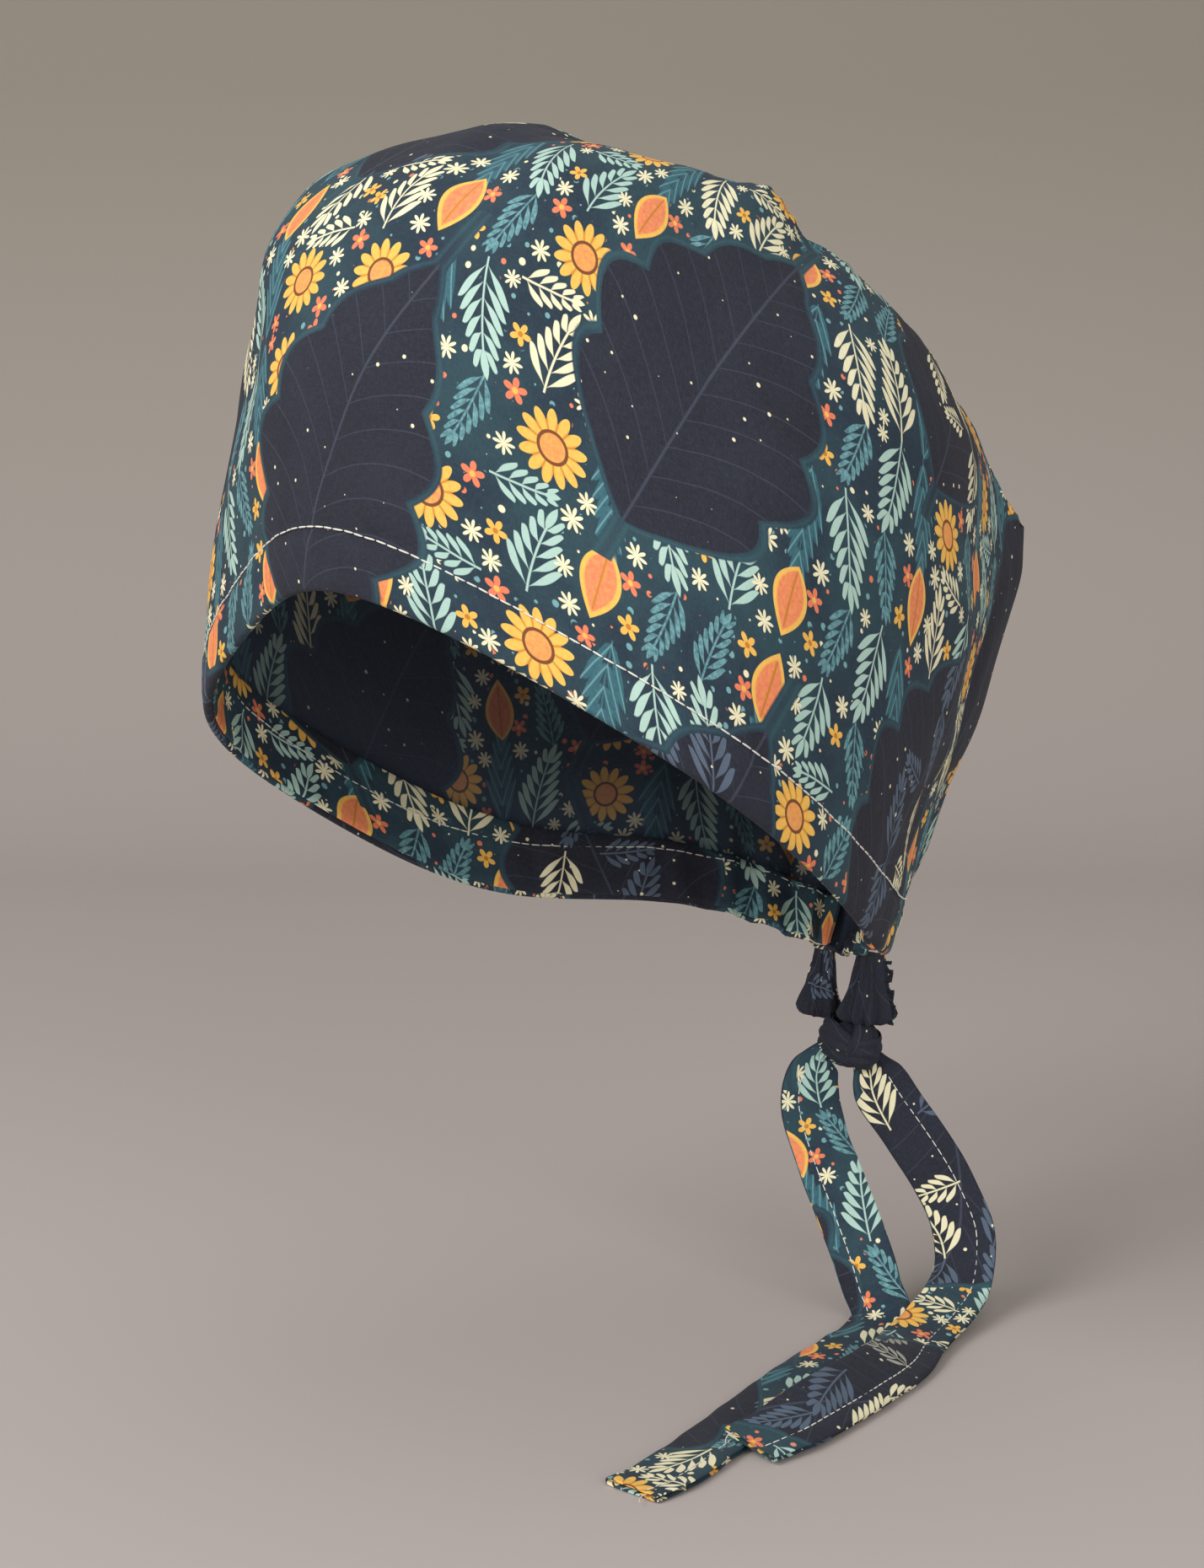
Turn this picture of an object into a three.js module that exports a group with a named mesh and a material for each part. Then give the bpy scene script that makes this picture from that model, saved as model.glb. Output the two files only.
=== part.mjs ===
// Surgical scrub cap in its worn shape: a side band, an oval crown, a turned-up hem that carries the ties,
// and two flat ties knotted under the nape. Millimetres, +Z up, -Y to the wearer's front, +X to the wearer's left.
// The origin is on the head's upright axis, level with the hem at the middle of the forehead.
import * as THREE from "three";

// Cloth and clearances
const CLOTH = 1.8; // wall of the band and the crown
const HEM_CLOTH = 1.2; // wall of the turned-up hem
const GAP = 0.4; // clearance between neighbouring pieces
const HEM_GAP = 0.7; // clearance between the band and the turned-up hem, which is gathered with it
const HEM_HEIGHT = 0.125; // share of the wall that the turned-up hem covers
const HEM_OPENING = 5; // degrees left open in the hem on each side of the nape, where the ties come out

// Sections of the side wall every 30 degrees, from the front (0) round the wearer's left to the nape (180).
// Each is one curve with four controls: the hem edge, a lower and an upper pull, and the crown seam.
const SECTION_STEP = 30;
const SECTION_COLUMNS = [
  "hemX", "hemY", "hemZ", "lowX", "lowY", "lowZ", "highX", "highY", "highZ", "seamX", "seamY", "seamZ",
];
const SECTIONS = [
  [0, -91, 0, 0, -97, 44, 0, -90, 104, 0, -29, 104],
  [43.5, -79, -14, 46, -79, 38, 52, -73.5, 109, 33.5, -16.5, 94.5],
  [83, -55.5, -40, 87, -55, 12.5, 72, -37, 80.5, 51, 2.5, 87.5],
  [83.5, -9, -71, 99, -5.5, -14.5, 100, 9.5, 54.5, 59.5, 33.5, 64.5],
  [60.5, 37.5, -91.5, 71, 45, -44, 80, 69.5, 12, 54, 69.5, 43.5],
  [28.5, 76, -96.5, 41, 88.5, -57, 50.5, 109, -12, 47, 108.5, 9],
  [0, 97, -108, 0, 118.5, -76, 0, 138.5, -26.5, 0, 128, 5],
];

// Soft folds of the worn cloth. at, drift: where the fold is at the hem and how far it moves by the seam, in
// degrees; from, to: the part of the wall it covers; width: half width in mm; height: mm out (+) or in (-).
const FOLDS = [
  { name: "forehead wave", at: 24, drift: -14, from: 0.3, to: 0.96, width: 8, height: -1.4 },
  { name: "forehead swell", at: 7, drift: 0, from: 0.6, to: 1.1, width: 10, height: 1.6 },
  { name: "right temple dent", at: -26, drift: 0, from: 0.28, to: 0.5, width: 18, height: -1.8 },
  { name: "right temple shoulder", at: -28, drift: 4, from: 0.54, to: 0.8, width: 14, height: 2.2 },
  { name: "seam swell", at: 57, drift: 0, from: 0.7, to: 1.1, width: 9, height: 1.8 },
  { name: "seam notch", at: 70, drift: 0, from: 0.82, to: 1.1, width: 6, height: -2 },
  { name: "corner swell", at: 148, drift: 0, from: 0.8, to: 1.1, width: 9, height: 1.5 },
  { name: "ear crease", at: 110, drift: 0, from: 0.12, to: 0.28, width: 12, height: -2.2 },
  { name: "ear swell", at: 107, drift: 0, from: 0.32, to: 0.5, width: 12, height: 1.2 },
  { name: "nape fold", at: 134, drift: 5, from: 0.05, to: 0.75, width: 6, height: -1.8 },
  { name: "right ear crease", at: -112, drift: 4, from: 0.1, to: 0.5, width: 7, height: -2 },
  { name: "right nape fold", at: -138, drift: -4, from: 0.05, to: 0.8, width: 7, height: -1.8 },
];

// Gathers that the drawn-in hem makes round the nape
const GATHER = { pitch: 8, reach: 46, height: 1.4, top: 0.75 };

// Crown panel: swell over its seam, how flat the middle is, and its rings from the seam to the middle
const CROWN = { swell: 20, power: 1.75, rings: [1, 0.88, 0.7, 0.48, 0.24] };
const CROWN_WAVES = [
  { name: "cross wave", along: 0.2, across: 0.98, pitch: 74, start: 0.4, height: 1.3 },
  { name: "long wave", along: 0.94, across: 0.34, pitch: 96, start: 2.1, height: 1.1 },
];

// Angles round the band: coarser over the front, finer where the nape is gathered
const SPACING = [
  { to: 138, step: 6 },
  { to: 222, step: 2.4 },
  { to: 360, step: 6 },
];
const WALL_ROWS = [0, 0.06, 0.125, 0.22, 0.34, 0.46, 0.58, 0.7, 0.81, 0.91, 1];

// Gathered ends of the hem: a pleated sleeve from under the nape to the knot. top, foot: middle of each end;
// wide, deep: half sizes there, along the cloth's spread and across it; pleats: number of pleats round it.
const HEM_ENDS = [
  {
    name: "hem_end_left", top: [8, 99.2, -107.05], foot: [5.6, 100.6, -126.6], spread: [0.73, 0.68, 0.1],
    topWide: 2.6, topDeep: 2.4, footWide: 8, footDeep: 3.6, pleats: 8, pleat: 0.2,
  },
  {
    name: "hem_end_right", top: [-8, 99.2, -107], foot: [-11.2, 99.8, -126.8], spread: [0.82, 0.5, -0.3],
    topWide: 2.6, topDeep: 2.4, footWide: 5.6, footDeep: 3, pleats: 6, pleat: 0.16,
  },
];
const HEM_END_ROWS = 6;

// The knot under the nape: a lump with the crossing straps' ridges
const KNOT = { middle: [0.4, 100.4, -132.7], half: [8.5, 6.1, 6.3], ridge: 0.1, ridges: 3, round: 16, rows: 9 };

// Ties: flat straps. Each row is the strap's middle, the direction across it and its share of the full width,
// which is less where the strap is bunched into the knot.
const TIE = { width: 16.5, thickness: 2.2, edge: 0.6, steps: 2 };
const TIE_COLUMNS = ["x", "y", "z", "acrossX", "acrossY", "acrossZ", "share"];
const TIE_RIGHT = [
  [-5.1, 95.7, -136.3, 0.37, 0.34, -0.87, 0.5],
  [-5.8, 93.7, -139.2, 0.58, 0.54, -0.62, 0.8],
  [-5.7, 91.1, -143.3, 0.71, 0.66, -0.24, 0.95],
  [-3.0, 87.4, -149.0, 0.73, 0.68, 0.03, 1],
  [3.1, 83.6, -156.7, 0.71, 0.66, 0.22, 1],
  [11.0, 80.0, -165.3, 0.69, 0.64, 0.33, 1],
  [19.2, 76.7, -174.5, 0.68, 0.64, 0.36, 1],
  [25.8, 74.2, -183.0, 0.72, 0.58, 0.36, 1],
  [29.2, 73.6, -190.0, 0.84, 0.36, 0.34, 1],
  [32.8, 72.6, -195.2, 0.94, 0.24, 0.06, 1],
  [36.0, 67.6, -197.5, 0.98, 0.18, 0, 1],
  [38.5, 60.0, -197.9, 0.98, 0.18, 0, 1],
  [40.4, 50.0, -197.9, 0.97, 0.2, 0, 1],
  [45.8, 24.0, -197.9, 0.96, 0.26, 0, 1],
  [52.8, -2.0, -197.9, 0.96, 0.27, 0, 1],
  [59.2, -25.7, -197.9, 0.97, 0.23, 0, 1],
  [63.2, -42.0, -197.9, 0.98, 0.18, 0, 1],
  [64.7, -51.0, -197.9, 1, 0.05, 0, 1],
  [64.7, -59.6, -197.9, 1, 0, 0, 1],
];
const TIE_LEFT = [
  [4.9, 102.9, -138.3, 0.51, 0.47, 0.72, 0.6],
  [7.4, 103.3, -142.1, 0.55, 0.51, 0.66, 0.9],
  [11.6, 102.4, -146.4, 0.59, 0.55, 0.59, 1],
  [21.5, 102.1, -155.8, 0.61, 0.57, 0.56, 1],
  [30.5, 102.3, -165.9, 0.63, 0.59, 0.5, 1],
  [38.0, 101.2, -176.4, 0.68, 0.63, 0.37, 1],
  [41.4, 98.6, -183.6, 0.86, 0.36, 0.02, 1],
  [43.8, 93.8, -189.6, 0.9, 0.2, -0.26, 1],
  [46.6, 85.4, -192.6, 0.92, 0.3, -0.24, 1],
  [50.2, 71.6, -194.9, 0.93, 0.32, -0.2, 1],
  [53.8, 59.4, -195.6, 0.92, 0.33, -0.2, 1],
  [61.0, 43.6, -194.7, 0.87, 0.24, -0.42, 1],
  [66.0, 22.4, -194.0, 0.85, 0.16, -0.5, 1],
  [69.4, 1.4, -193.9, 0.85, 0.12, -0.5, 1],
  [70.2, -12.0, -195.0, 0.94, 0.05, -0.32, 1],
  [69.4, -24.6, -195.9, 0.98, -0.05, -0.19, 1],
];

// Small vector helpers
const add = (a, b, k = 1) => [a[0] + k * b[0], a[1] + k * b[1], a[2] + k * b[2]];
const minus = (a, b) => add(a, b, -1);
const scale = (a, k) => [a[0] * k, a[1] * k, a[2] * k];
const dot = (a, b) => a[0] * b[0] + a[1] * b[1] + a[2] * b[2];
const cross = (a, b) => [
  a[1] * b[2] - a[2] * b[1],
  a[2] * b[0] - a[0] * b[2],
  a[0] * b[1] - a[1] * b[0],
];
const unit = (a) => scale(a, 1 / Math.sqrt(dot(a, a)));
const mix = (a, b, t) => add(scale(a, 1 - t), b, t);
const radians = (degrees) => (degrees * Math.PI) / 180;
const between = (x) => Math.min(1, Math.max(0, x));
const smooth = (x) => between(x) ** 2 * (3 - 2 * between(x));

// A column of the section table all the way round: x changes sign on the wearer's right
function columnRound(name) {
  const index = SECTION_COLUMNS.indexOf(name);
  const left = SECTIONS.map((row) => row[index]);
  const sign = name.endsWith("X") ? -1 : 1;
  return left.concat(left.slice(1, -1).reverse().map((value) => sign * value));
}

// The smooth closed curve through a column, at any angle
const rounds = new Map(SECTION_COLUMNS.map((name) => [name, columnRound(name)]));
function atAngle(name, degrees) {
  const values = rounds.get(name);
  const count = values.length;
  let total = 0;
  values.forEach((value, index) => {
    const turn = radians(degrees - index * SECTION_STEP);
    const near = Math.abs(Math.sin(turn / 2)) < 1e-9;
    const weight = near ? 1 : Math.sin((count * turn) / 2) / (count * Math.tan(turn / 2));
    total += value * weight;
  });
  return total;
}

const control = (part, degrees) => ["X", "Y", "Z"].map((axis) => atAngle(part + axis, degrees));

// The wall without its folds; rise runs from 0 at the hem edge to 1 at the crown seam
function plainWall(degrees, rise) {
  const down = 1 - rise;
  let point = scale(control("hem", degrees), down ** 3);
  point = add(point, control("low", degrees), 3 * down * down * rise);
  point = add(point, control("high", degrees), 3 * down * rise * rise);
  return add(point, control("seam", degrees), rise ** 3);
}

function wallNormal(degrees, rise) {
  const small = 0.01;
  const alongHem = minus(plainWall(degrees + 1, rise), plainWall(degrees - 1, rise));
  const upWall = minus(plainWall(degrees, Math.min(1, rise + small)), plainWall(degrees, Math.max(0, rise - small)));
  return unit(cross(alongHem, upWall));
}

const MM_PER_DEGREE = 1.7;
const turnBetween = (a, b) => ((((a - b) % 360) + 540) % 360) - 180;

// How far the folds and gathers push the wall out
function relief(degrees, rise) {
  let out = 0;
  for (const fold of FOLDS) {
    const off = turnBetween(degrees, fold.at + fold.drift * rise) * MM_PER_DEGREE;
    const reach = smooth((rise - fold.from) / 0.15 + 0.5) * smooth((fold.to - rise) / 0.15 + 0.5);
    out += fold.height * reach * Math.exp(-((off / fold.width) ** 2));
  }
  const fromNape = turnBetween(degrees, 180);
  const near = smooth((GATHER.reach - Math.abs(fromNape)) / (GATHER.reach * 0.6));
  const low = between(1 - rise / GATHER.top) ** 1.3;
  return out + GATHER.height * near * low * Math.cos((2 * Math.PI * fromNape) / GATHER.pitch);
}

const wall = (degrees, rise, depth) =>
  add(plainWall(degrees, rise), wallNormal(degrees, rise), relief(degrees, rise) - depth);

// The crown panel spans the seam curve; its middle and its slope come from the seam's front and nape
const seamFront = plainWall(0, 1);
const seamNape = plainWall(180, 1);
const crownMiddle = mix(seamFront, seamNape, 0.5);
const crownAlong = unit(minus(seamNape, seamFront));
const crownUp = unit(cross([1, 0, 0], crownAlong));

function crown(degrees, reach, depth) {
  const onSeam = wall(degrees, 1, 0);
  const flat = mix(crownMiddle, onSeam, reach);
  const from = minus(flat, crownMiddle);
  let lift = CROWN.swell * (1 - reach ** CROWN.power);
  for (const wave of CROWN_WAVES) {
    const place = wave.along * dot(from, crownAlong) + wave.across * from[0];
    lift += wave.height * (1 - reach ** 4) * Math.sin((2 * Math.PI * place) / wave.pitch + wave.start);
  }
  return add(flat, crownUp, lift - depth);
}

function crownNormal(degrees) {
  const alongSeam = minus(wall(degrees + 1, 1, 0), wall(degrees - 1, 1, 0));
  const inward = minus(crown(degrees, 0.94, 0), crown(degrees, 1, 0));
  return unit(cross(alongSeam, inward));
}

// The inner end of the mitred joint between the band's top edge and the crown's edge
function mitre(degrees) {
  const band = wallNormal(degrees, 1);
  const top = crownNormal(degrees);
  const corner = scale(add(band, top), -CLOTH / (1 + dot(band, top)));
  return add(wall(degrees, 1, 0), corner);
}

// Building closed solids
class Skin {
  constructor() {
    this.points = [];
    this.faces = [];
  }

  point(p) {
    this.points.push(p);
    return this.points.length - 1;
  }

  quad(a, b, c, d) {
    this.faces.push([a, b, c], [a, c, d]);
  }

  // A sheet of quads over a grid of point numbers
  sheet(grid, closed) {
    const last = closed ? grid.length : grid.length - 1;
    for (let i = 0; i < last; i += 1) {
      const here = grid[i];
      const next = grid[(i + 1) % grid.length];
      for (let j = 0; j + 1 < here.length; j += 1) {
        this.quad(here[j], next[j], next[j + 1], here[j + 1]);
      }
    }
  }

  fan(middle, ring) {
    ring.forEach((number, index) => this.faces.push([middle, number, ring[(index + 1) % ring.length]]));
  }

  // Six times the enclosed volume tells whether the faces look outwards
  looksOut() {
    const total = this.faces.reduce((sum, [a, b, c]) => {
      const normal = cross(this.points[b], this.points[c]);
      return sum + dot(this.points[a], normal);
    }, 0);
    return total > 0;
  }

  mesh(name) {
    const out = this.looksOut();
    const geometry = new THREE.BufferGeometry();
    geometry.setAttribute("position", new THREE.Float32BufferAttribute(this.points.flat(), 3));
    geometry.setIndex(this.faces.flatMap(([a, b, c]) => (out ? [a, b, c] : [a, c, b])));
    geometry.computeVertexNormals();
    const mesh = new THREE.Mesh(geometry);
    mesh.name = name;
    return mesh;
  }
}

// A cloth wall between two grids of points, closed at its edges
function clothWall(name, outer, inner, closed) {
  const skin = new Skin();
  const numbered = (grid) => grid.map((column) => column.map((p) => skin.point(p)));
  const out = numbered(outer);
  const into = numbered(inner);
  const top = out[0].length - 1;
  skin.sheet(out, closed);
  skin.sheet(into.map((column) => [...column].reverse()), closed);
  skin.sheet(out.map((column, i) => [into[i][0], column[0]]), closed);
  skin.sheet(out.map((column, i) => [column[top], into[i][top]]), closed);
  if (!closed) {
    const end = out.length - 1;
    for (let j = 0; j < top; j += 1) {
      skin.quad(into[0][j], out[0][j], out[0][j + 1], into[0][j + 1]);
      skin.quad(out[end][j], into[end][j], into[end][j + 1], out[end][j + 1]);
    }
  }
  return skin.mesh(name);
}

// A solid through rings of points, closed by a fan at each end
function loft(name, rings) {
  const skin = new Skin();
  const numbered = rings.map((ring) => ring.map((p) => skin.point(p)));
  const columns = numbered[0].map((_, k) => numbered.map((ring) => ring[k]));
  skin.sheet(columns, true);
  const middleOf = (ring) => scale(ring.reduce((sum, p) => add(sum, p), [0, 0, 0]), 1 / ring.length);
  skin.fan(skin.point(middleOf(rings[0])), [...numbered[0]].reverse());
  skin.fan(skin.point(middleOf(rings.at(-1))), numbered.at(-1));
  return skin.mesh(name);
}

function bandAngles() {
  const angles = [];
  let at = 0;
  for (const { to, step } of SPACING) {
    const count = Math.round((to - at) / step);
    for (let k = 0; k < count; k += 1) angles.push(at + (k * (to - at)) / count);
    at = to;
  }
  return angles;
}

function sideBand() {
  const angles = bandAngles();
  const outer = angles.map((a) => WALL_ROWS.map((rise) => wall(a, rise, 0)));
  const inner = angles.map((a) => WALL_ROWS.map((rise) => (rise < 1 ? wall(a, rise, CLOTH) : mitre(a))));
  return clothWall("side_band", outer, inner, true);
}

function crownPanel() {
  const angles = bandAngles();
  const skin = new Skin();
  const inset = (degrees) => {
    const inward = unit(minus(crown(degrees, 0.94, 0), crown(degrees, 1, 0)));
    return scale(inward, GAP);
  };
  const ringPoint = (degrees, reach, depth) => {
    if (reach < 1) return crown(degrees, reach, depth);
    return add(depth ? mitre(degrees) : crown(degrees, 1, 0), inset(degrees));
  };
  const grid = (depth) => angles.map((a) => CROWN.rings.map((reach) => skin.point(ringPoint(a, reach, depth))));
  const over = grid(0);
  const under = grid(CLOTH);
  const inner = CROWN.rings.length - 1;
  skin.sheet(over, true);
  skin.sheet(under.map((column) => [...column].reverse()), true);
  skin.sheet(over.map((column, i) => [under[i][0], column[0]]), true);
  skin.fan(skin.point(crown(0, 0, 0)), over.map((column) => column[inner]));
  skin.fan(skin.point(crown(0, 0, CLOTH)), under.map((column) => column[inner]).reverse());
  return skin.mesh("crown_panel");
}

function turnedHem() {
  const rows = [0.01, 0.06, HEM_HEIGHT];
  const inside = bandAngles().filter((a) => Math.abs(turnBetween(a, 180)) > HEM_OPENING);
  const fromNape = (a) => (a + 180) % 360;
  inside.sort((a, b) => fromNape(a) - fromNape(b));
  const layer = (depth) => inside.map((a) => rows.map((rise) => wall(a, rise, depth)));
  return clothWall("tie_casing", layer(CLOTH + HEM_GAP), layer(CLOTH + HEM_GAP + HEM_CLOTH), false);
}

// A pleated sleeve, narrow under the nape and flaring to the knot
function hemEnd(end) {
  const axis = minus(end.foot, end.top);
  const down = unit(axis);
  const wide = unit(minus(end.spread, scale(down, dot(end.spread, down))));
  const deep = cross(down, wide);
  const count = end.pleats * 4;
  const rings = [];
  for (let row = 0; row <= HEM_END_ROWS; row += 1) {
    const t = row / HEM_END_ROWS;
    const flare = t ** 1.4;
    const halfWide = end.topWide + (end.footWide - end.topWide) * flare;
    const halfDeep = end.topDeep + (end.footDeep - end.topDeep) * flare;
    const ring = [];
    for (let k = 0; k < count; k += 1) {
      const turn = (2 * Math.PI * k) / count;
      const pleat = 1 + end.pleat * (0.4 + 0.6 * t) * Math.cos(turn * end.pleats);
      const across = scale(wide, halfWide * pleat * Math.cos(turn));
      ring.push(add(add(add(end.top, axis, t), across), deep, halfDeep * pleat * Math.sin(turn)));
    }
    rings.push(ring);
  }
  return loft(end.name, rings);
}

function knot() {
  const rings = [];
  for (let row = 1; row < KNOT.rows; row += 1) {
    const tilt = (Math.PI * row) / KNOT.rows;
    const ring = [];
    for (let k = 0; k < KNOT.round; k += 1) {
      const turn = (2 * Math.PI * k) / KNOT.round;
      const swell = 1 + KNOT.ridge * Math.sin(KNOT.ridges * turn + 2.4 * tilt);
      const offset = [
        KNOT.half[0] * swell * Math.sin(tilt) * Math.cos(turn),
        KNOT.half[1] * swell * Math.sin(tilt) * Math.sin(turn),
        KNOT.half[2] * Math.cos(tilt),
      ];
      ring.push(add(KNOT.middle, offset));
    }
    rings.push(ring);
  }
  return loft("tie_knot", rings);
}

// A strap through its table: rows are joined by a smooth curve and kept square to it
function strap(name, rows) {
  const value = (row, column) => rows[Math.min(rows.length - 1, Math.max(0, row))][TIE_COLUMNS.indexOf(column)];
  const curve = (column, row, t) => {
    const [p0, p1, p2, p3] = [-1, 0, 1, 2].map((k) => value(row + k, column));
    const slope1 = (p2 - p0) / 2;
    const slope2 = (p3 - p1) / 2;
    const rise = p2 - p1;
    return p1 + t * (slope1 + t * (3 * rise - 2 * slope1 - slope2 + t * (slope1 + slope2 - 2 * rise)));
  };
  const stations = [];
  for (let row = 0; row + 1 < rows.length; row += 1) {
    for (let k = 0; k < TIE.steps; k += 1) {
      stations.push(TIE_COLUMNS.map((column) => curve(column, row, k / TIE.steps)));
    }
  }
  stations.push(rows.at(-1));
  const place = stations.map((s) => s.slice(0, 3));
  const half = TIE.width / 2;
  const thick = TIE.thickness / 2;
  const outline = [
    [-half, -thick + TIE.edge], [-half + TIE.edge, -thick], [half - TIE.edge, -thick], [half, -thick + TIE.edge],
    [half, thick - TIE.edge], [half - TIE.edge, thick], [-half + TIE.edge, thick], [-half, thick - TIE.edge],
  ];
  const rings = place.map((middle, i) => {
    const along = unit(minus(place[Math.min(i + 1, place.length - 1)], place[Math.max(i - 1, 0)]));
    const given = stations[i].slice(3, 6);
    const across = unit(minus(given, scale(along, dot(given, along))));
    const face = cross(along, across);
    const share = stations[i][6];
    return outline.map(([w, t]) => add(add(middle, across, w * share), face, t));
  });
  return loft(name, rings);
}

const cap = new THREE.Group();
cap.name = "surgical_scrub_cap";
cap.add(sideBand());
cap.add(crownPanel());
cap.add(turnedHem());
HEM_ENDS.forEach((end) => cap.add(hemEnd(end)));
cap.add(knot());
cap.add(strap("tie_right", TIE_RIGHT));
cap.add(strap("tie_left", TIE_LEFT));

export default cap;
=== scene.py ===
"""Dresses the surgical scrub cap: printed cotton band and crown, turned-up hem, knot and ties."""

import math

import bpy
import numpy as np
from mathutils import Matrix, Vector


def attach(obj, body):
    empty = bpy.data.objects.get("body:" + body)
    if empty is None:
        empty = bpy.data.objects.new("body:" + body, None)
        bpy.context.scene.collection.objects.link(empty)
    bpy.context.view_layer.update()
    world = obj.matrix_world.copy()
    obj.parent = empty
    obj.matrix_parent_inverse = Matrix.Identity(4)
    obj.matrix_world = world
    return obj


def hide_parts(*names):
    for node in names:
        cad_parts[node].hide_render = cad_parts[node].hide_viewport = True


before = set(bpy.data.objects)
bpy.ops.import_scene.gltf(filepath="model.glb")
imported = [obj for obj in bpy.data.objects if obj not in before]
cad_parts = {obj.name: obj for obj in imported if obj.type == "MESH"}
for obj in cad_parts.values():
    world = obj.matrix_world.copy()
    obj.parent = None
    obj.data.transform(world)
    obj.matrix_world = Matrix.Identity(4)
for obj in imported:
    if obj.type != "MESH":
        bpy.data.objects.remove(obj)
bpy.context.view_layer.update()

# Lengths are in millimetres, as in the part's own source. Only the flat sizes of the sheets,
# the camera and the studio are in metres
MM = 0.001
MM_PER_DEGREE = 1.7
WALL_LENGTH = 135
INNER_HEM_DEPTH = 3.1
SHEET = 0.8

# The turned-up hem's share of the wall, and the degrees left open on each side of the nape
HEM_HEIGHT = 0.125
HEM_OPENING = 5.0

# Sections of the side wall every 30 degrees from the front to the nape.
# Each has the hem edge, a lower pull, an upper pull and the crown seam
SECTION_STEP = 30
SECTIONS = np.array([
    [[0, -91, 0], [0, -97, 44], [0, -90, 104], [0, -29, 104]],
    [[43.5, -79, -14], [46, -79, 38], [52, -73.5, 109], [33.5, -16.5, 94.5]],
    [[83, -55.5, -40], [87, -55, 12.5], [72, -37, 80.5], [51, 2.5, 87.5]],
    [[83.5, -9, -71], [99, -5.5, -14.5], [100, 9.5, 54.5], [59.5, 33.5, 64.5]],
    [[60.5, 37.5, -91.5], [71, 45, -44], [80, 69.5, 12], [54, 69.5, 43.5]],
    [[28.5, 76, -96.5], [41, 88.5, -57], [50.5, 109, -12], [47, 108.5, 9]],
    [[0, 97, -108], [0, 118.5, -76], [0, 138.5, -26.5], [0, 128, 5]],
])
ROUND = np.concatenate([SECTIONS, SECTIONS[-2:0:-1] * [-1, 1, 1]])

# Soft folds: at, drift (degrees), from, to (share of the wall), width, height (mm)
FOLDS = {
    "forehead wave": (24, -14, 0.3, 0.96, 8, -1.4),
    "forehead swell": (7, 0, 0.6, 1.1, 10, 1.6),
    "right temple dent": (-26, 0, 0.28, 0.5, 18, -1.8),
    "right temple shoulder": (-28, 4, 0.54, 0.8, 14, 2.2),
    "seam swell": (57, 0, 0.7, 1.1, 9, 1.8),
    "seam notch": (70, 0, 0.82, 1.1, 6, -2),
    "corner swell": (148, 0, 0.8, 1.1, 9, 1.5),
    "ear crease": (110, 0, 0.12, 0.28, 12, -2.2),
    "ear swell": (107, 0, 0.32, 0.5, 12, 1.2),
    "nape fold": (134, 5, 0.05, 0.75, 6, -1.8),
    "right ear crease": (-112, 4, 0.1, 0.5, 7, -2),
    "right nape fold": (-138, -4, 0.05, 0.8, 7, -1.8),
}
GATHER_PITCH, GATHER_REACH, GATHER_HEIGHT, GATHER_TOP = 8, 46, 1.4, 0.75
CROWN_SWELL, CROWN_POWER = 20, 1.75
CROWN_WAVES = {"cross wave": (0.2, 0.98, 74, 0.4, 1.3), "long wave": (0.94, 0.34, 96, 2.1, 1.1)}

HEM_ENDS = {
    "hem_end_left": {
        "top": (8, 99.2, -107.05), "foot": (5.6, 100.6, -126.6), "spread": (0.73, 0.68, 0.1),
        "top_wide": 3.4, "top_deep": 2.8, "foot_wide": 6.4, "foot_deep": 3.8, "pleats": 8, "pleat": 0.2,
        "print": (-16, 26), "ruffle": 3.4, "flat": (0.027, 0.021),
    },
    "hem_end_right": {
        "top": (-8, 99.2, -107), "foot": (-11.2, 99.8, -126.8), "spread": (0.82, 0.5, -0.3),
        "top_wide": 2.6, "top_deep": 2.4, "foot_wide": 5.6, "foot_deep": 3, "pleats": 7, "pleat": 0.14,
        "print": (166, 30), "ruffle": 0, "flat": (0.0145, 0.021),
    },
}
KNOT_MIDDLE = np.array([0.4, 100.4, -132.7])
KNOT_HALF = np.array([8.5, 6.1, 6.3])

# Turns of the knot: how far each is tipped and leans to the front (radians and share), width, size
KNOT_TURNS = [(0.25, 0.15, 9.0, 1.06), (-0.95, 0.3, 8.0, 1.0)]
VIEW_RIGHT = np.array([0.731, 0.682, 0.0])
VIEW_NEAR = np.array([0.682, -0.731, 0.0])

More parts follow.
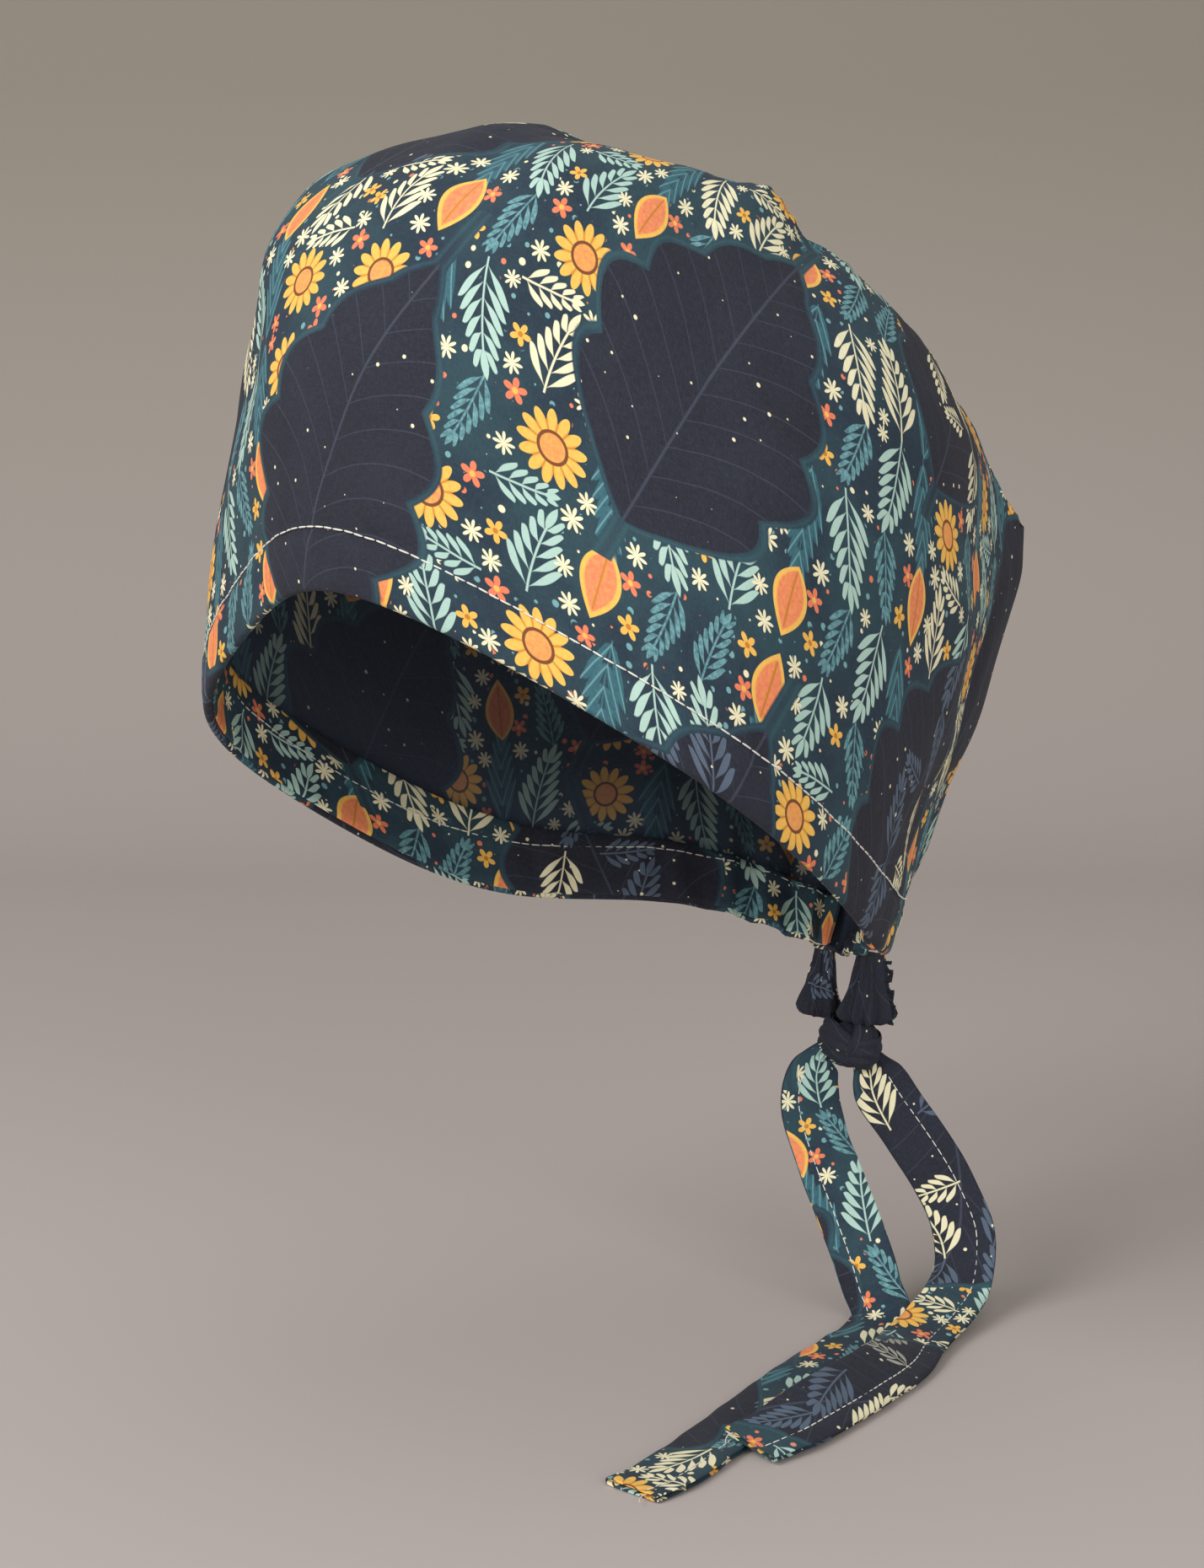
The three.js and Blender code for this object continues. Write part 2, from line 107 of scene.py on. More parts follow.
# Ties: middle of the strap, direction across it, share of the full width
TIE_WIDTH, TIE_THICK = 16.5, 2.2
TIE_RIGHT = np.array([
    [-5.1, 95.7, -136.3, 0.37, 0.34, -0.87, 0.5],
    [-5.8, 93.7, -139.2, 0.58, 0.54, -0.62, 0.8],
    [-5.7, 91.1, -143.3, 0.71, 0.66, -0.24, 0.95],
    [-3.0, 87.4, -149.0, 0.73, 0.68, 0.03, 1],
    [3.1, 83.6, -156.7, 0.71, 0.66, 0.22, 1],
    [11.0, 80.0, -165.3, 0.69, 0.64, 0.33, 1],
    [19.2, 76.7, -174.5, 0.68, 0.64, 0.36, 1],
    [25.8, 74.2, -183.0, 0.72, 0.58, 0.36, 1],
    [29.2, 73.6, -190.0, 0.84, 0.36, 0.34, 1],
    [32.8, 72.6, -195.2, 0.94, 0.24, 0.06, 1],
    [36.0, 67.6, -197.5, 0.98, 0.18, 0, 1],
    [38.5, 60.0, -197.9, 0.98, 0.18, 0, 1],
    [40.4, 50.0, -197.9, 0.97, 0.2, 0, 1],
    [45.8, 24.0, -197.9, 0.96, 0.26, 0, 1],
    [52.8, -2.0, -197.9, 0.96, 0.27, 0, 1],
    [59.2, -25.7, -197.9, 0.97, 0.23, 0, 1],
    [63.2, -42.0, -197.9, 0.98, 0.18, 0, 1],
    [64.7, -51.0, -197.9, 1, 0.05, 0, 1],
    [64.7, -59.6, -197.9, 1, 0, 0, 1],
])
TIE_LEFT = np.array([
    [4.9, 102.9, -138.3, 0.51, 0.47, 0.72, 0.6],
    [7.4, 103.3, -142.1, 0.55, 0.51, 0.66, 0.9],
    [11.6, 102.4, -146.4, 0.59, 0.55, 0.59, 1],
    [21.5, 102.1, -155.8, 0.61, 0.57, 0.56, 1],
    [30.5, 102.3, -165.9, 0.63, 0.59, 0.5, 1],
    [38.0, 101.2, -176.4, 0.68, 0.63, 0.37, 1],
    [41.4, 98.6, -183.6, 0.86, 0.36, 0.02, 1],
    [43.8, 93.8, -189.6, 0.9, 0.2, -0.26, 1],
    [46.6, 85.4, -192.6, 0.92, 0.3, -0.24, 1],
    [50.2, 71.6, -194.9, 0.93, 0.32, -0.2, 1],
    [53.8, 59.4, -195.6, 0.92, 0.33, -0.2, 1],
    [61.0, 43.6, -194.7, 0.87, 0.24, -0.42, 1],
    [66.0, 22.4, -194.0, 0.85, 0.16, -0.5, 1],
    [69.4, 1.4, -193.9, 0.85, 0.12, -0.5, 1],
    [70.2, -12.0, -195.0, 0.94, 0.05, -0.32, 1],
    [69.4, -24.6, -195.9, 0.98, -0.05, -0.19, 1],
])


# The cap's shape
def unit(a):
    return a / np.linalg.norm(a, axis=-1, keepdims=True)


def smooth(x):
    x = np.clip(x, 0, 1)
    return x * x * (3 - 2 * x)


def bump(x, width):
    return np.exp(-((x / width) ** 2))


def turn_between(a, b):
    return (a - b + 540) % 360 - 180


def wander(x, y, pitch, seed, waves=6):
    """Soft irregular waves about one millimetre high, of roughly the given pitch"""
    chance = np.random.default_rng(seed)
    total = 0
    for _ in range(waves):
        way, start = chance.uniform(0, 2 * np.pi, 2)
        rate = 2 * np.pi / pitch * chance.uniform(0.6, 1.4)
        total = total + np.sin(rate * (x * np.cos(way) + y * np.sin(way)) + start)
    return total / np.sqrt(waves)


def sections(degrees):
    """The four controls of the wall's curve at any angle"""
    turn = np.radians(degrees[..., None] - SECTION_STEP * np.arange(len(ROUND)))
    count = len(ROUND)
    near = np.abs(np.sin(turn / 2)) < 1e-9
    safe = np.where(near, 1.0, turn)
    weight = np.where(near, 1.0, np.sin(count * safe / 2) / (count * np.tan(safe / 2)))
    return np.einsum("...k,kcx->...cx", weight, ROUND)


def plain_wall(degrees, rise):
    """Degrees and rise have one shape; rise runs from 0 at the hem to 1 at the crown seam"""
    controls = sections(degrees)
    down = 1 - rise
    shares = np.stack([down**3, 3 * down**2 * rise, 3 * down * rise**2, rise**3], -1)
    return np.einsum("...c,...cx->...x", shares, controls)


def wall_normal(degrees, rise):
    along = plain_wall(degrees + 1, rise) - plain_wall(degrees - 1, rise)
    up = plain_wall(degrees, np.minimum(1, rise + 0.01)) - plain_wall(degrees, np.maximum(0, rise - 0.01))
    return unit(np.cross(along, up))


def from_hem(degrees, rise):
    """Length along the wall from the hem edge"""
    steps = [plain_wall(degrees, rise * t) for t in np.linspace(0, 1, 13)]
    return sum(np.linalg.norm(b - a, axis=-1) for a, b in zip(steps, steps[1:]))


def rise_at(degrees, distance):
    rise = np.full_like(degrees, 0.1)
    for _ in range(6):
        rise = rise * distance / np.maximum(from_hem(degrees, rise), 1e-6)
    return rise


def relief(degrees, rise):
    """How far the folds, and the gathers at the nape, push the wall out"""
    out = np.zeros_like(degrees * rise)
    for at, drift, start, end, width, height in FOLDS.values():
        off = turn_between(degrees, at + drift * rise) * MM_PER_DEGREE
        reach = smooth((rise - start) / 0.15 + 0.5) * smooth((end - rise) / 0.15 + 0.5)
        out += height * reach * bump(off, width)
    from_nape = turn_between(degrees, 180)
    near = smooth((GATHER_REACH - np.abs(from_nape)) / (GATHER_REACH * 0.6))
    low = np.clip(1 - rise / GATHER_TOP, 0, 1) ** 1.3
    return out + GATHER_HEIGHT * near * low * np.cos(2 * np.pi * from_nape / GATHER_PITCH)


STITCH_LINE = 14.0


def fine_relief(degrees, rise):
    """Small forms of the sewn cloth: padded hem, stitch groove, puckers and soft wrinkles"""
    up = from_hem(degrees, rise)
    round_mm = degrees * MM_PER_DEGREE
    hem_swell = 0.35 * smooth(up / 3) * smooth((STITCH_LINE - up) / 3)
    groove = -0.5 * bump(up - STITCH_LINE, 1.1)
    hem_pucker = 0.28 * wander(round_mm, up * 0.35, 11, 4) * smooth(up / 4) * bump(up - 9, 8)
    soft = 0.45 * wander(round_mm, up, 46, 9) * smooth((up - 10) / 20)
    small = 0.13 * wander(round_mm, up * 0.5, 17, 14) * smooth((up - 10) / 15)
    top_pucker = 0.4 * wander(round_mm, 0 * up, 8.5, 21) * bump((1 - rise) * 150, 9)
    from_nape = np.abs(turn_between(degrees, 180))
    nape = smooth((40 - from_nape) / 22) * np.clip(1 - up / 60, 0, 1) ** 1.2
    nape_pleat = 0.5 * nape * np.sin(2 * np.pi * from_nape / 3.1 + 1.5 * np.sin(from_nape / 5))
    return hem_swell + groove + hem_pucker + soft + small + top_pucker + nape_pleat


def wall(degrees, rise, depth=0.0):
    """Places on the folded wall, or at a depth inside it"""
    out = relief(degrees, rise) - depth
    return plain_wall(degrees, rise) + wall_normal(degrees, rise) * out[..., None]


def outside(degrees, rise, depth=0.0):
    """The same with the small forms of the sewn cloth"""
    out = relief(degrees, rise) + fine_relief(degrees, rise) - depth
    return plain_wall(degrees, rise) + wall_normal(degrees, rise) * out[..., None]


ends = plain_wall(np.array([0.0, 180.0]), np.ones(2))
CROWN_MIDDLE = ends.mean(0)
CROWN_ALONG = unit(ends[1] - ends[0])
CROWN_UP = unit(np.cross([1, 0, 0], CROWN_ALONG))


def crown(degrees, reach):
    """Degrees and reach have one shape; reach is 1 at the seam and 0 in the crown's middle"""
    on_seam = wall(degrees, np.ones_like(degrees))
    flat = CROWN_MIDDLE + (on_seam - CROWN_MIDDLE) * reach[..., None]
    away = flat - CROWN_MIDDLE
    lift = CROWN_SWELL * (1 - reach**CROWN_POWER)
    for along, across, pitch, start, height in CROWN_WAVES.values():
        place = along * (away @ CROWN_ALONG) + across * away[..., 0]
        lift = lift + height * (1 - reach**4) * np.sin(2 * np.pi * place / pitch + start)
    lift = lift + 0.25 * (1 - reach**6) * wander(away[..., 0], away @ CROWN_ALONG, 30, 31)
    return flat + CROWN_UP * lift[..., None]


def run_along(points):
    """Length along a line of points, or along each row of a grid"""
    run = np.cumsum(np.linalg.norm(np.diff(points, axis=-2), axis=-1), -1)
    return np.concatenate([0 * run[..., :1], run], -1)


def on_line(at, run, points):
    """Points, or directions, at the given lengths along a line"""
    return np.stack([np.interp(at, run, points[:, k]) for k in range(3)], 1)


# Modelling tools
def deselect():
    if bpy.context.object and bpy.context.object.mode != "OBJECT":
        bpy.ops.object.mode_set(mode="OBJECT")
    bpy.ops.object.select_all(action="DESELECT")


def select(*pieces):
    """Selects these pieces alone and makes the first one active"""
    deselect()
    for piece in pieces:
        piece.select_set(True)
    bpy.context.view_layer.objects.active = pieces[0]


def join(*pieces):
    select(*pieces)
    bpy.ops.object.join()
    return pieces[0]


def edit_all(piece, *steps):
    """Runs edit-mode steps on the whole piece"""
    select(piece)
    bpy.ops.object.mode_set(mode="EDIT")
    bpy.ops.mesh.select_all(action="SELECT")
    for step in steps:
        step()
    bpy.ops.object.mode_set(mode="OBJECT")


def merge_edges():
    bpy.ops.mesh.remove_doubles(threshold=0.00001)


def face_outward(piece):
    edit_all(piece, lambda: bpy.ops.mesh.normals_make_consistent(inside=False))


def print_map(across, up):
    """Place of each point on the printed cloth"""
    return np.stack(np.broadcast_arrays(across, up), -1)


def apply_modifier(piece, kind, **settings):
    select(piece)
    modifier = piece.modifiers.new(kind.lower(), kind)
    for key, value in settings.items():
        setattr(modifier, key, value)
    bpy.ops.object.modifier_apply(modifier=modifier.name)


def smooth_shading(piece, angle=60):
    select(piece)
    bpy.ops.object.shade_smooth_by_angle(angle=math.radians(angle))


def lay_cloth(name, points, pattern):
    """A grid of cloth is added and its points are moved to their places; pattern is in mm on the cloth"""
    columns, rows = points.shape[:2]
    deselect()
    bpy.ops.mesh.primitive_grid_add(x_subdivisions=columns - 1, y_subdivisions=rows - 1, size=1)
    piece = bpy.context.object
    piece.name = name
    mesh = piece.data
    flat = np.zeros(len(mesh.vertices) * 3)
    mesh.vertices.foreach_get("co", flat)
    flat = flat.reshape(-1, 3)
    column = np.rint((flat[:, 0] + 0.5) * (columns - 1)).astype(int)
    row = np.rint((flat[:, 1] + 0.5) * (rows - 1)).astype(int)
    mesh.vertices.foreach_set("co", (points[column, row] * MM).ravel())
    corners = np.zeros(len(mesh.loops), int)
    mesh.loops.foreach_get("vertex_index", corners)
    while mesh.uv_layers:
        mesh.uv_layers.remove(mesh.uv_layers[0])
    layer = mesh.uv_layers.new(name="pattern")
    layer.data.foreach_set("uv", pattern[column, row][corners].ravel())
    mesh.update()
    edit_all(piece, merge_edges)
    return piece


# Materials
def colour(red, green, blue):
    """A colour read as a screen shows it, 0 to 255"""
    parts = [c / 255 for c in (red, green, blue)]
    return tuple(p / 12.92 if p <= 0.04045 else ((p + 0.055) / 1.055) ** 2.4 for p in parts) + (1,)


NAVY = colour(33, 50, 64)
TEAL_GROUND = colour(41, 67, 77)
CHARCOAL = colour(30, 31, 42)
TEAL = colour(60, 104, 114)
PALE_TEAL = colour(114, 162, 166)
SLATE = colour(84, 98, 116)
CREAM = colour(236, 228, 190)
MINT = colour(172, 204, 192)
MUSTARD = colour(238, 184, 84)
CORAL = colour(230, 126, 90)
OCHRE = colour(196, 126, 44)
VEIN = colour(74, 82, 98)


class Reading:
    """A number, colour or direction that the material's nodes work out at each point"""

    def __init__(self, board, socket):
        self.board = board
        self.socket = socket

    def __add__(self, other):
        return self.board.math("ADD", self, other)

    __radd__ = __add__

    def __sub__(self, other):
        return self.board.math("SUBTRACT", self, other)

    def __rsub__(self, other):
        return self.board.math("SUBTRACT", other, self)

    def __mul__(self, other):
        return self.board.math("MULTIPLY", self, other)

    __rmul__ = __mul__

    def __truediv__(self, other):
        return self.board.math("DIVIDE", self, other)

    def __abs__(self):
        return self.board.math("ABSOLUTE", self)


class Board:
    """The nodes of one material"""

    def __init__(self, name):
        self.material = bpy.data.materials.new(name)
        self.material.use_nodes = True
        self.tree = self.material.node_tree
        self.tree.nodes.clear()

    def put(self, kind, given=(), **settings):
        """A new node; given holds a reading or a plain value for an input's name or number"""
        node = self.tree.nodes.new(kind)
        for key, value in settings.items():
            setattr(node, key, value)
        for key, value in dict(given).items():
            if isinstance(value, Reading):
                self.tree.links.new(value.socket, node.inputs[key])
            elif value is not None:
                node.inputs[key].default_value = value
        return node

    def read(self, kind, given=(), output=0, **settings):
        return Reading(self, self.put(kind, given, **settings).outputs[output])

    def parts(self, kind, reading):
        """The three parts of a place or a colour"""
        return [Reading(self, socket) for socket in self.put(kind, {0: reading}).outputs]

    def finished(self, given):
        """The material, once its surface has these inputs"""
        shader = self.read("ShaderNodeBsdfPrincipled", given)
        self.put("ShaderNodeOutputMaterial", {0: shader})
        return self.material

    def math(self, operation, *values, clamp=False):
        return self.read("ShaderNodeMath", enumerate(values), operation=operation, use_clamp=clamp)

    def raised(self, height, strength, distance, under=None):
        """The way that the surface faces once a height is laid over it"""
        given = {"Strength": strength, "Distance": distance, "Height": height, "Normal": under}
        return self.read("ShaderNodeBump", given)

    def most(self, a, b):
        return self.math("MAXIMUM", a, b)

    def least(self, a, b):
        return self.math("MINIMUM", a, b)

    def mix(self, share, under, over):
        given = {0: share, 6: under, 7: over}
        return self.read("ShaderNodeMix", given, output=2, data_type="RGBA", clamp_factor=True)

    def inside(self, distance, soft=0.16):
        """1 where the distance is below zero, 0 beyond"""
        return self.math("MULTIPLY_ADD", distance, -1 / soft, 0.5, clamp=True)

    def paint(self, under, shape, over):
        """One colour laid over another within a shape"""
        return self.mix(self.inside(shape), under, over)

    def chances(self, column, row, seed):
        """Three even chances from 0 to 1 for each cell of the print"""
        spot = self.read("ShaderNodeCombineXYZ", {0: column, 1: row, 2: float(seed)})
        chance = self.read("ShaderNodeTexWhiteNoise", {0: spot}, "Color", noise_dimensions="3D")
        return self.parts("ShaderNodeSeparateColor", chance)

    def noise(self, across, up, scale, detail=2.0, rough=0.5):
        spot = self.read("ShaderNodeCombineXYZ", {0: across, 1: up})
        given = {"Vector": spot, "Scale": scale, "Detail": detail, "Roughness": rough}
        return self.read("ShaderNodeTexNoise", given, noise_dimensions="2D")


def cell(board, across, up, wide, tall, seed):
    """Place within a half-drop repeat: local x and y about the cell's middle, and the cell's chances"""
    column = board.math("FLOOR", across / wide)
    drop = board.math("FRACT", column * 0.5)
    lifted = up / tall + drop
    row = board.math("FLOOR", lifted)
    x = (across / wide - column - 0.5) * wide
    y = (lifted - row - 0.5) * tall
    return x, y, board.chances(column, row, seed)


def placed(board, x, y, at, turn):
    """Coordinates of a motif: along it and across it, from its foot"""
    c, s = math.cos(math.radians(turn)), math.sin(math.radians(turn))
    along = board.math("MULTIPLY_ADD", y, c, -c * at[1] + s * at[0])
    along = board.math("MULTIPLY_ADD", x, -s, along)
    side = board.math("MULTIPLY_ADD", y, s, -s * at[1] - c * at[0])
    side = board.math("MULTIPLY_ADD", x, c, side)
    return along, side


def sprig(board, along, side, length, leaf, half_width, pitch, lean=38, curve=0.0, blunt=True):
    """A stem with leaf pairs that get shorter towards its tip, and a leaf at the tip.
    Gives the distance to its edge, and the distance to each leaf's middle line"""
    if curve:
        side = board.math("MULTIPLY_ADD", along * along, curve, side)
    slope = math.tan(math.radians(lean))
    off = abs(side)
    foot = board.math("MULTIPLY_ADD", off, -1 / slope, along)
    number = board.math("ROUND", foot / pitch)
    aside = abs(foot - number * pitch) * math.sin(math.radians(lean))
    full = board.math("MULTIPLY_ADD", number, -0.6 * leaf * pitch / length, leaf)
    share = off / full / math.sin(math.radians(lean))
    bulge = share * (1 - share)
    bulge = bulge * share * (6.75 * half_width) if blunt else bulge * (4 * half_width)
    limits = board.most(-0.5 * pitch - foot, foot - length)
    leaves = board.most(aside - bulge, limits)
    tip = (along - length + 1.5) / (0.6 * leaf)
    tip_leaf = off - tip * (1 - tip) * (4 * half_width)
    stalk = board.most(off - 0.24, board.most(-0.9 * pitch - along, along - length))
    return board.least(board.least(leaves, tip_leaf), stalk), board.most(aside, leaves)


def distance(board, x, y):
    return board.math("SQRT", board.math("MULTIPLY_ADD", x, x, y * y))


def bloom(board, x, y, at, petals, radius, waist=0.5, turn=0.0):
    """A flower seen from above; waist is how far the petals are cut in"""
    dx = x - at[0]
    dy = y - at[1]
    angle = board.math("ARCTAN2", dy, dx)
    away = distance(board, dx, dy)
    wave = abs(board.math("COSINE", board.math("MULTIPLY_ADD", angle, petals / 2, turn)))
    edge = board.math("MULTIPLY_ADD", wave, radius * (1 - waist), radius * waist)
    return away - edge, away, wave


# Repeats of the print: its sprays, scattered dots, large leaves and the specks on those
SPRAY_REPEAT, DOT_REPEAT, LEAF_REPEAT, SPECK_REPEAT = (46, 42), (4.1, 3.8), (88, 112), (6.5, 6.5)


def print_design(board, across, up):
    """A dense botanical print: sprigs, fronds, daisies, buds and dots between large dark leaves"""
    patches = board.noise(across, up, 0.035, 3, 0.6)
    ground = board.mix((patches - 0.38) * 4, NAVY, TEAL_GROUND)
    brushed = board.noise(across, up, 0.9, 2, 0.6)

    x, y, (first, second, third) = cell(board, across, up, *SPRAY_REPEAT, 3)
    x = x * board.math("SIGN", first - 0.5)
    y = y * board.math("SIGN", second - 0.5)

    # Teal fronds lie lowest, with pale midribs
    along, side = placed(board, x, y, (-5, -20), -10)
    frond, frond_rib = sprig(board, along, side, 22, 12.5, 1.25, 4.9, 24, 0.004, blunt=False)
    fern, _ = sprig(board, *placed(board, x, y, (-19.5, 3), -14), 15.5, 7.6, 0.72, 2.9, 34, -0.006)
    teal = board.mix((brushed - 0.3) * 2, TEAL, colour(42, 88, 102))
    cloth = board.paint(ground, frond, teal)
    cloth = board.mix(board.inside(frond_rib - 0.16, 0.2) * 0.7, cloth, PALE_TEAL)
    cloth = board.paint(cloth, fern, board.mix((brushed - 0.3) * 2, PALE_TEAL, TEAL))
    covered = board.least(frond, fern)

    # Pale sprigs
    tall, _ = sprig(board, *placed(board, x, y, (-14.5, -19.5), 6), 19, 10.4, 0.92, 3.5, 38, 0.006)
    low, _ = sprig(board, *placed(board, x, y, (13.5, 20), 174), 15.5, 9.4, 0.9, 3.4, 40, -0.008)
    short, _ = sprig(board, *placed(board, x, y, (22, 0.5), 92), 12, 6.2, 0.74, 2.8, 42, 0.008)
    pale = board.mix(board.inside(third - 0.4, 0.01), MINT, CREAM)
    pale_two = board.mix(board.inside(third - 0.6, 0.01), CREAM, MINT)
    pale = board.mix((brushed - 0.45) * 1.2, pale, colour(190, 208, 184))
    cloth = board.paint(cloth, tall, pale)
    cloth = board.mix(board.inside(board.least(low, short)), cloth, pale_two)
    leafy = board.least(fern, board.least(tall, board.least(low, short)))
    covered = board.least(covered, leafy)

    # Daisy with shaded petals, a ring and a centre
    petals, away, wave = bloom(board, x, y, (10.5, -11), 13, 7.8, 0.66)
    gold = board.mix((brushed - 0.35) * 3, MUSTARD, colour(244, 192, 92))
    cloth = board.paint(cloth, petals, board.mix(wave * 1.6, OCHRE, gold))
    cloth = board.paint(cloth, away - 3.5, colour(120, 70, 40))
    cloth = board.paint(cloth, away - 2.8, board.mix(brushed, CORAL, MUSTARD))
    covered = board.least(covered, petals)

    # A broad coral leaf with a gold rim
    along, side = placed(board, x, y, (-3.5, 2.5), -12)
    share = along / 17
    bud = abs(side) - share * (1 - share) * board.math("MULTIPLY_ADD", share, -9.0, 23.0)
    cloth = board.paint(cloth, bud, gold)
    warm = board.mix((brushed - 0.3) * 2.5, CORAL, colour(240, 150, 92))
    cloth = board.mix(board.inside(bud + 1.1, 0.5), cloth, warm)
    cloth = board.mix(board.inside(board.most(abs(side) - 0.25, bud + 1.6), 0.25), cloth, OCHRE)
    covered = board.least(covered, bud)

    # Florets and small cream daisies
    for spot, tone, eye, size in (
        ((19.6, -18.2), CORAL, MUSTARD, 2.7), ((-8.6, 7.0), CORAL, MUSTARD, 2.5),
        ((20.6, 12), MUSTARD, OCHRE, 2.5), ((-8.6, 16.2), MUSTARD, OCHRE, 2.6),
        ((1.0, -18.6), CORAL, MUSTARD, 2.3),
    ):
        petals, away, _ = bloom(board, x, y, spot, 5, size, 0.3, spot[0])
        cloth = board.paint(cloth, petals, tone)
        cloth = board.paint(cloth, away - 0.24 * size, eye)
        covered = board.least(covered, petals)
    for spot, size in (
        ((-9.6, 0.6), 2.6), ((5.2, 1.0), 2.7), ((20.6, -6.6), 2.4), ((6.2, 11.5), 2.2), ((4.6, 18.6), 2.4),
        ((21.2, 18.6), 2.4), ((2.2, -3.8), 2.3), ((-21, -19), 2.0),
    ):
        petals, _, _ = bloom(board, x, y, spot, 8, size, 0.12, spot[1])
        cloth = board.paint(cloth, petals, CREAM)
        covered = board.least(covered, petals)

    # Scattered dots keep clear of the rest
    dx, dy, (size, shift, tone) = cell(board, across + 2.0, up + 1.0, *DOT_REPEAT, 11)
    spot = distance(board, dx, dy) - board.math("MULTIPLY_ADD", size, 1.1, -0.3)
    speck = board.mix(board.inside(shift - 0.5, 0.01), CREAM, CORAL)
    speck = board.mix(board.inside(tone - 0.5, 0.01), speck, PALE_TEAL)
    cloth = board.mix(board.inside(spot) * board.inside(0.9 - covered, 0.4), cloth, speck)

    # Large dark leaves, ringed by clear ground, with faint veins, specks and slate sprigs
    lx, ly, (turned, leafed, _) = cell(board, across + 37, up + 19, *LEAF_REPEAT, 29)
    along, side = placed(board, lx * board.math("SIGN", turned - 0.5), ly, (-20, -46), -24)
    share = board.math("POWER", board.most(along / 96, 0.0), 0.8)
    belly = board.math("SINE", board.least(share, 1.0) * math.pi)
    off = abs(side)
    lobes = abs(board.math("SINE", (along - off * 0.35) * (math.pi / 21)))
    leaf = off - belly * board.math("MULTIPLY_ADD", lobes, 6.0, 24.0)
    cloth = board.mix(board.inside(leaf - 2.2, 0.5), cloth, ground)
    cloth = board.mix(board.inside(abs(leaf - 1.3) - 0.3, 1.2) * 0.4, cloth, TEAL)
    shade = board.mix(board.noise(across, up, 0.06, 2, 0.5), CHARCOAL, colour(38, 42, 56))
    rib_place = board.math("MULTIPLY_ADD", off * off, 0.016, along - off * 1.1) / 9.0
    rib = abs(board.math("FRACT", rib_place) - 0.5) * 9.0 - 0.12
    veined = board.mix(board.inside(board.least(rib, off - 0.3), 0.3) * 0.5, shade, VEIN)
    sprigged = board.inside(leafed - 0.55, 0.01) * board.inside(leafy)
    veined = board.mix(sprigged, veined, board.mix(board.inside(third - 0.3, 0.01), SLATE, CREAM))
    sx, sy, (size, shift_x, shift_y) = cell(board, across, up, *SPECK_REPEAT, 41)
    from_middle = distance(board, sx + (shift_x - 0.5) * 4, sy + (shift_y - 0.5) * 4)
    speck = from_middle - (size * 1.5 - 1.0)
    veined = board.paint(veined, speck, CREAM)
    return board.mix(board.inside(leaf, 0.3), cloth, veined)


def weave_height(board, across, up, pitch=0.42):
    """Plain weave: raised threads over and under each other"""
    warp = board.math("SINE", across * (2 * math.pi / pitch))
    weft = board.math("SINE", up * (2 * math.pi / pitch))
    return warp * weft


def printed_cotton(name, wrong_side=False):
    board = Board(name)
    spot = board.read("ShaderNodeUVMap", uv_map="pattern")
    across, up, _ = board.parts("ShaderNodeSeparateXYZ", spot)
    design = print_design(board, across, up)
    if wrong_side:
        design = board.mix(0.62, design, colour(52, 62, 78))
    threads = weave_height(board, across, up)
    slub = board.noise(across * 0.25, up, 2.2, 3, 0.7)
    slub_two = board.noise(across, up * 0.25, 2.2, 3, 0.7)
    grain = threads * 0.5 + slub + slub_two - 1.0
    rubbed = board.math("MULTIPLY_ADD", grain, 0.05, 0.012, clamp=True)
    worn = board.mix(rubbed, design, colour(205, 205, 200))
    fine = board.raised(grain, 0.35, 0.00012)
    creases = board.noise(across, up, 0.08, 4, 0.6)
    return board.finished({
        "Base Color": worn,
        "Roughness": board.math("MULTIPLY_ADD", grain, 0.08, 0.86),
        "Sheen Weight": 0.04,
        "Sheen Roughness": 0.5,
        "Specular IOR Level": 0.2,
        "Normal": board.raised(creases, 0.5, 0.0012, fine),
    })


def thread_material():
    board = Board("white_cotton_thread")
    place = board.read("ShaderNodeTexCoord", output="Object")
    twist = board.read("ShaderNodeTexNoise", {"Vector": place, "Scale": 3200, "Detail": 2})
    return board.finished({
        "Base Color": board.mix(twist, colour(196, 194, 184), colour(240, 238, 228)),
        "Roughness": 0.7,
        "Normal": board.raised(twist, 0.5, 0.0001),
    })


RIGHT_SIDE = printed_cotton("printed_cotton_right_side")
WRONG_SIDE = printed_cotton("printed_cotton_wrong_side", wrong_side=True)
THREAD = thread_material()


def thicken(piece):
    """Gives a sheet its thickness, with the cloth's wrong side on its inner face"""
    piece.data.materials.append(RIGHT_SIDE)
    piece.data.materials.append(WRONG_SIDE)
    apply_modifier(piece, "SOLIDIFY", thickness=SHEET * MM, offset=-1,
                   material_offset=1, material_offset_rim=1)
    smooth_shading(piece)


def dress(piece, node, *materials):
    """Gives a finished piece its materials and its body, and hides the imported part of the node it stands
    for
    """
    for material in materials:
        piece.data.materials.append(material)
    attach(piece, "root")
    if node:
        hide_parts(node)


# Side band: a rolled hem, the wall and the seam's turned-in edge
BAND_COLUMNS = 400
WALL_STEPS = 66
SEAM_ROLL = 1.5
SEAM_PER_DEGREE, INNER_HEM_PER_DEGREE = 1.5, 1.65
FOLD_RADIUS = 1.15


def seam_frame(degrees):
    """The sharp corner of the crown seam and the ways down the band, over the crown and into the cap"""
    one = np.ones_like(degrees)
    corner = wall(degrees, one)
    down = unit(wall(degrees, one * 0.985) - corner)
    over = unit(crown(degrees, one * 0.95) - corner)
    along = wall(degrees + 1, one) - wall(degrees - 1, one)
    inward = -unit(unit(np.cross(along, over)) + wall_normal(degrees, one))
    return corner, down, over, inward


